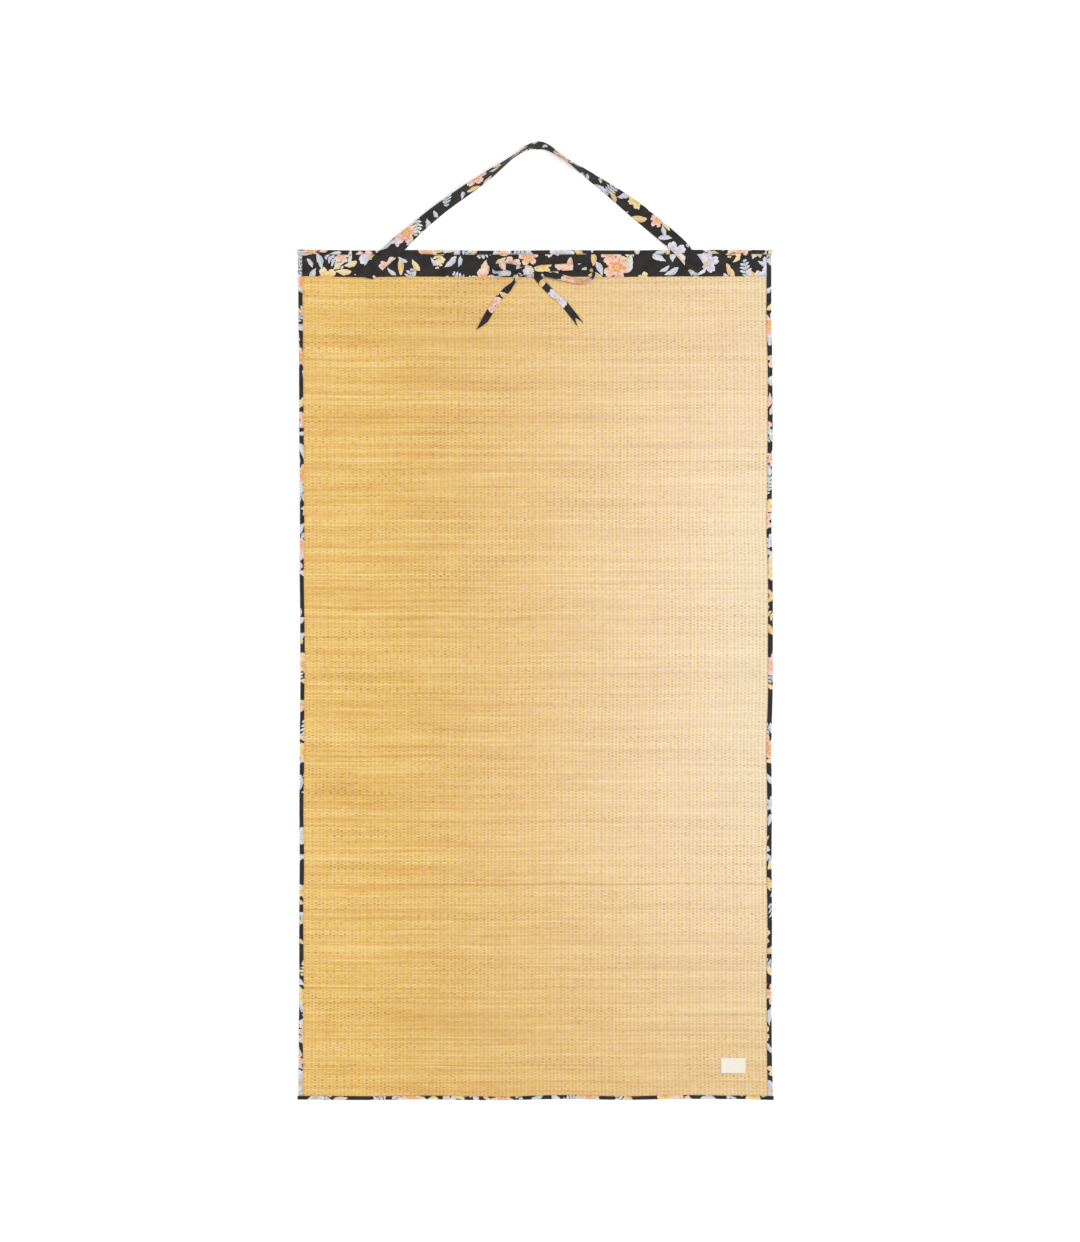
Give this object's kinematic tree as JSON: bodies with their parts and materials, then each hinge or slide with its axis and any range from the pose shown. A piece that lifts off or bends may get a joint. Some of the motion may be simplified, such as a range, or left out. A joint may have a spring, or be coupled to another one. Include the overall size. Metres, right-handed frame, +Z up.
{
  "type": "beach mat",
  "caption": "Flat woven straw beach mat edged in printed cotton, with a printed strip across one end, a carry strap, a tie in a bow and a blank label.",
  "frame": {"origin": "middle of the straw panel's underside, on the ground", "axes": "+X across the mat, +Y along it towards the end with the strap, +Z up"},
  "size_m": [1.0088, 2.0313, 0.0348],
  "materials": {
    "straw": "dry woven straw, satin stems",
    "printed_cotton": "matt plain-weave cotton, floral print",
    "label_weave": "matt woven label, blank"
  },
  "bodies": {
    "root": {"straw_panel": "straw", "top_band": "printed_cotton", "binding_top": "printed_cotton", "binding_bottom": "printed_cotton", "binding_left": "printed_cotton", "binding_right": "printed_cotton", "carry_strap": "printed_cotton", "tie": "printed_cotton", "label": "label_weave"}
  },
  "joints": []
}
